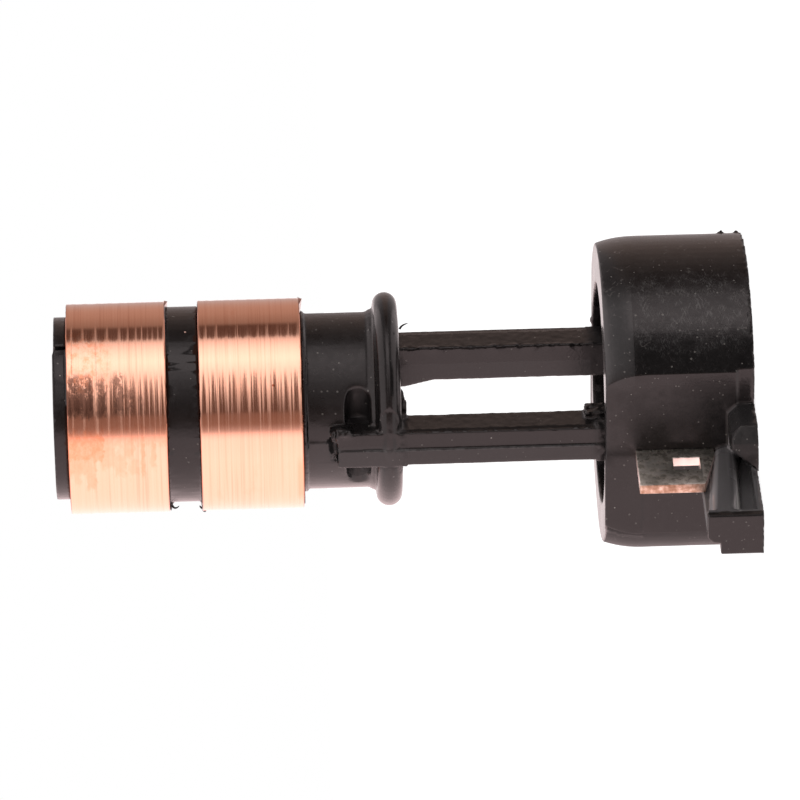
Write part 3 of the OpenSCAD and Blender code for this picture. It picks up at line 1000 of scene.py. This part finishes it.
bpy.ops.object.shade_smooth()
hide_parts("moulded_body")
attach(moulding, "root")


EMPTY_CELLS = 0.72


def dust_group():
    """Specks of dust and swarf, from their size in a cell and the number of cells per metre."""
    tree = bpy.data.node_groups.new("dust", "ShaderNodeTree")
    tree.interface.new_socket("Amount", in_out="INPUT", socket_type="NodeSocketFloat")
    tree.interface.new_socket("Per Metre", in_out="INPUT", socket_type="NodeSocketFloat")
    tree.interface.new_socket("Mask", in_out="OUTPUT", socket_type="NodeSocketFloat")
    inputs = tree.nodes.new("NodeGroupInput")
    outputs = tree.nodes.new("NodeGroupOutput")
    spot = add_node(tree, "ShaderNodeTexCoord")
    cells = add_node(
        tree, "ShaderNodeTexVoronoi", in_Vector=spot.outputs["Object"],
        in_Scale=inputs.outputs["Per Metre"],
    )
    lucky = add_node(tree, "ShaderNodeSeparateColor", in_Color=cells.outputs["Color"])
    size = compute(tree, "MULTIPLY", lucky.outputs["Red"], inputs.outputs["Amount"])
    chosen = compute(tree, "LESS_THAN", cells.outputs["Distance"], size)
    rare = compute(tree, "GREATER_THAN", lucky.outputs["Green"], EMPTY_CELLS)
    tree.links.new(compute(tree, "MULTIPLY", chosen, rare), outputs.inputs["Mask"])
    return tree


dust = dust_group()


def scuffs(tree, size, width, patches):
    """Short curved scratches: the edges of warped cells, kept only in patches."""
    spot = add_node(tree, "ShaderNodeTexCoord").outputs["Object"]
    warp = add_node(
        tree, "ShaderNodeTexNoise", in_Vector=spot, in_Scale=1 / (2.2 * size), in_Detail=2.0
    )
    bent = add_node(
        tree, "ShaderNodeVectorMath", operation="MULTIPLY_ADD", in_0=warp.outputs["Color"],
        in_1=(3 * size, 3 * size, 3 * size), in_2=spot,
    )
    cells = add_node(
        tree, "ShaderNodeTexVoronoi", feature="DISTANCE_TO_EDGE", in_Vector=bent.outputs[0],
        in_Scale=1 / size,
    )
    line = ramp(tree, cells.outputs["Distance"], [(0.0, 1.0), (width, 0.0)])
    kept = ramp(tree, noise(tree, 0.8 * size, 2), [(patches, 0.0), (patches + 0.06, 1.0)])
    return compute(tree, "MULTIPLY", line, kept)


def strokes(tree, lean):
    """Fuzzy short strokes round the collar, at a lean to its edge."""
    spot = add_node(tree, "ShaderNodeTexCoord").outputs["Object"]
    drawn_out = add_node(
        tree, "ShaderNodeMapping", vector_type="TEXTURE", in_Vector=spot,
        in_Rotation=(lean, 0, math.radians(58)), in_Scale=(1, 9, 1),
    )
    line = noise(tree, 0.09 * MM, 2, spot=drawn_out.outputs[0])
    kept = noise(tree, 0.7 * MM, 3)
    return both_masks(
        tree, ramp(tree, line, [(0.53, 0.0), (0.68, 1.0)]),
        ramp(tree, kept, [(0.4, 0.0), (0.62, 1.0)]),
    )


def block(tree, axes, low, high, soft):
    """A mask for a box in mm, the same on both sides of the part."""
    sideways = compute(tree, "ABSOLUTE", axes["X"])
    return both_masks(tree, *(
        between(tree, compute(tree, "MULTIPLY", value, 1 / MM), start, end, soft)
        for value, start, end in zip((sideways, axes["Y"], axes["Z"]), low, high)
    ))


# Where the skin is torn or rubbed matt: boxes in mm, how softly they end, and the added roughness.
MATT_PLACES = [
    ((4.6, -2.4, 9.8), (9.4, 2.8, 11.7), 0.8, 0.3),
    ((4.4, -2.4, 26.7), (9.0, 4.0, 27.0), 0.3, 0.2),
    ((9.6, -1.0, 1.0), (10.2, 5.6, 11.0), 0.8, 0.18),
    ((0.0, 1.8, 29.3), (9.0, 9.0, 34.6), 0.6, 0.09),
    ((13.2, 0.3, -0.2), (14.6, 4.3, 2.1), 0.05, 0.35),
]
SLOT_MATT = 0.35
SLOT_RADIUS = 6.55 * MM
SKIN = [(0.3, (0.005, 0.0042, 0.0042)), (0.7, (0.0085, 0.007, 0.007))]
# Light grey for real dust and for painted light.
DUST_AND_LIGHT_GREY = (0.16, 0.148, 0.15)
# Painted highlights on the wire post's rib: on its flanks and on its side toward the floor.
RIB_FLANK_HIGHLIGHT = (0.29, 0.265, 0.27)
RIB_FLOOR_SIDE_HIGHLIGHT = (0.45, 0.42, 0.41)
STROKE = (0.17, 0.16, 0.155)
CURL = (0.17, 0.15, 0.14)
SPECK = (0.30, 0.27, 0.25)
# Small and large specks: their size in a cell, cells per metre and how strongly they show.
SPECKS = [(0.22, 2500, 0.35), (0.075, 1100, 1.0)]
# A copper chip pressed into the moulding between the tracks.
FLECK_PLACE = (1.70 * MM, 7.28 * MM, 43.48 * MM)
FLECK_RADIUS = 0.13 * MM
FLECK = (0.70, 0.42, 0.34)


def dust_and_light_places(tree, axes, turn, height, haze):
    """Real haze and grime, and painted light on the rim, lower halves, ridge, pad and trough."""
    # Painted sheen: the collar rim's band on the camera's side is painted lighter, more toward the
    # top.
    rim_painted_sheen = both_masks(
        tree, between(tree, height, 9.2, 11.6, 0.06), between(tree, turn, 40, 62, 12),
        compute(tree, "MULTIPLY_ADD", height, 0.08, -0.6),
    )
    # Painted light from below: the legs' lower halves, under the parting line, are painted lighter.
    legs = both_masks(
        tree, between(tree, height, 11.8, 27.8, 0.2),
        compute(tree, "LESS_THAN", axes["Y"], 0.03 * MM),
    )
    # Painted highlight: a ragged light line along the legs' parting ridge.
    leg_ridge_highlight = both_masks(
        tree, block(tree, axes, (7.8, -0.09, 12.2), (8.3, 0.02, 29.8), 0.05),
        ramp(tree, noise(tree, 0.5 * MM, 4), [(0.35, 0.35), (0.6, 1.0)]),
    )
    # Painted light from below: the hub's lower half, toward the camera, is painted lighter.
    lower_half = both_masks(
        tree, between(tree, height, HUB_FOOT / MM, HUB_TOP / MM, 0.1),
        between(tree, turn, -90, 0, 3),
    )
    # Painted light: the trough and the pad at the wire post are painted lighter than their shade.
    trough = block(tree, axes, (10.2, -2.8, 0.1), (19.6, 1.2, 1.8), 0.1)
    pad = block(tree, axes, (10.0, 0.4, -0.1), (14.4, 4.4, 2.3), 0.1)
    # Haze and grime are real dust; every other mask here is painted light.
    dust_and_light = rim_painted_sheen
    for mask, amount in (
        (haze, 0.03), (legs, 0.11), (lower_half, 0.15), (leg_ridge_highlight, 0.4), (trough, 0.6), (pad, 0.1),
    ):
        dust_and_light = compute(tree, "MAXIMUM", dust_and_light, compute(tree, "MULTIPLY", mask, amount))
    grime = ramp(tree, noise(tree, 0.35 * MM, 6, roughness=0.7), [(0.5, 0.0), (0.7, 0.035)])
    return compute(tree, "ADD", dust_and_light, grime)


def matt_places(tree, axes, height):
    """How much rougher the skin is inside the slot and in the matt places."""
    squares = (compute(tree, "MULTIPLY", axes[axis], axes[axis]) for axis in "XY")
    radius = compute(tree, "SQRT", compute(tree, "ADD", *squares))
    slot_inside = both_masks(
        tree, between(tree, height, 28.6, 32.5, 0.2),
        compute(tree, "LESS_THAN", radius, SLOT_RADIUS),
    )
    matt = compute(tree, "MULTIPLY", slot_inside, SLOT_MATT)
    for low, high, soft, added in MATT_PLACES:
        place_mask = block(tree, axes, low, high, soft)
        matt = compute(tree, "MAXIMUM", matt, compute(tree, "MULTIPLY", place_mask, added))
    uneven = ramp(tree, noise(tree, 0.6 * MM, 4), [(0.35, 0.4), (0.6, 1.0)])
    return compute(tree, "MULTIPLY", matt, uneven)


def moulded_material():
    """Satin black, with haze and strokes round the collar, dust, painted light and a copper chip.
    """
    made, tree, shader = new_material("black_moulding", in_IOR=1.45)
    spot = add_node(tree, "ShaderNodeTexCoord")
    axes = add_node(tree, "ShaderNodeSeparateXYZ", in_Vector=spot.outputs["Object"]).outputs
    facing = add_node(tree, "ShaderNodeSeparateXYZ", in_Vector=spot.outputs["Normal"]).outputs
    turn, height = turn_and_height(tree)
    blotch = noise(tree, 2.4 * MM, 4)
    grain = noise(tree, 0.2 * MM, 3)
    collar = between(tree, height, -1, COLLAR_TOP / MM, 0.5)
    rubbed = both_masks(
        tree, between(tree, height, 0.6, 8.6, 0.8), between(tree, turn, 50, 70, 10)
    )
    haze = both_masks(
        tree, compute(tree, "MULTIPLY_ADD", rubbed, 0.92, 0.08), collar,
        ramp(tree, noise(tree, 0.9 * MM, 5, roughness=0.65), [(0.42, 0.0), (0.7, 1.0)]),
    )
    marks = both_masks(
        tree, compute(tree, "MAXIMUM", strokes(tree, 0.4), strokes(tree, -0.35)),
        compute(tree, "MULTIPLY_ADD", rubbed, 0.9, 0.1), collar,
    )
    curls = both_masks(
        tree, collar, between(tree, turn, 50, 110, 20), scuffs(tree, 0.9 * MM, 0.05, 0.6)
    )
    # Painted highlights: the rib's flanks, the more they face sideways, and its floor side are
    # painted light.
    rib = block(tree, axes, (10.2, -1.8, 1.8), (19.6, 1.6, 4.6), 0.2)
    rib_flank_highlight_mask = ramp(tree, compute(tree, "ABSOLUTE", facing["Z"]), [(0.45, 0.3), (0.85, 1.0)])
    rib_floor_side_highlight_mask = compute(tree, "LESS_THAN", facing["Z"], -0.7)

    # Dust and painted light turn the skin toward light grey.
    dust_and_light = dust_and_light_places(tree, axes, turn, height, haze)
    colour = mixed(tree, dust_and_light, ramp(tree, blotch, SKIN), DUST_AND_LIGHT_GREY)
    for mask, amount, paint in (
        # The rib's two colours are painted highlights; the strokes and curls are real scuffs.
        (both_masks(tree, rib, rib_flank_highlight_mask), 1.0, RIB_FLANK_HIGHLIGHT),
        (both_masks(tree, rib, rib_floor_side_highlight_mask), 1.0, RIB_FLOOR_SIDE_HIGHLIGHT),
        (marks, 0.33, STROKE),
        (curls, 0.3, CURL),
    ):
        colour = mixed(tree, compute(tree, "MULTIPLY", mask, amount), colour, paint)
    for size, per_metre, amount in SPECKS:
        specks = add_node(tree, "ShaderNodeGroup", node_tree=dust)
        specks.inputs["Amount"].default_value = size
        specks.inputs["Per Metre"].default_value = per_metre
        shown = compute(tree, "MULTIPLY", specks.outputs[0], amount)
        colour = mixed(tree, shown, colour, SPECK)
    away = add_node(
        tree, "ShaderNodeVectorMath", operation="DISTANCE", in_0=spot.outputs["Object"],
        in_1=FLECK_PLACE,
    ).outputs["Value"]
    colour = mixed(tree, compute(tree, "LESS_THAN", away, FLECK_RADIUS), colour, FLECK)
    fill(tree, shader.inputs["Base Color"], colour)

    satin = ramp(tree, blotch, [(0.25, 0.2), (0.75, 0.26)])
    satin = compute(tree, "MULTIPLY_ADD", haze, 0.1, satin)
    roughness = compute(tree, "ADD", satin, matt_places(tree, axes, height))
    fill(tree, shader.inputs["Roughness"], roughness)
    fine = add_node(
        tree, "ShaderNodeBump", in_Strength=0.6, in_Distance=0.012 * MM, in_Height=grain
    )
    coarse = add_node(
        tree, "ShaderNodeBump", in_Strength=0.3, in_Distance=0.02 * MM, in_Height=curls,
        in_Normal=fine.outputs[0],
    )
    fill(tree, shader.inputs["Normal"], coarse.outputs[0])
    return made


moulding.data.materials.append(moulded_material())
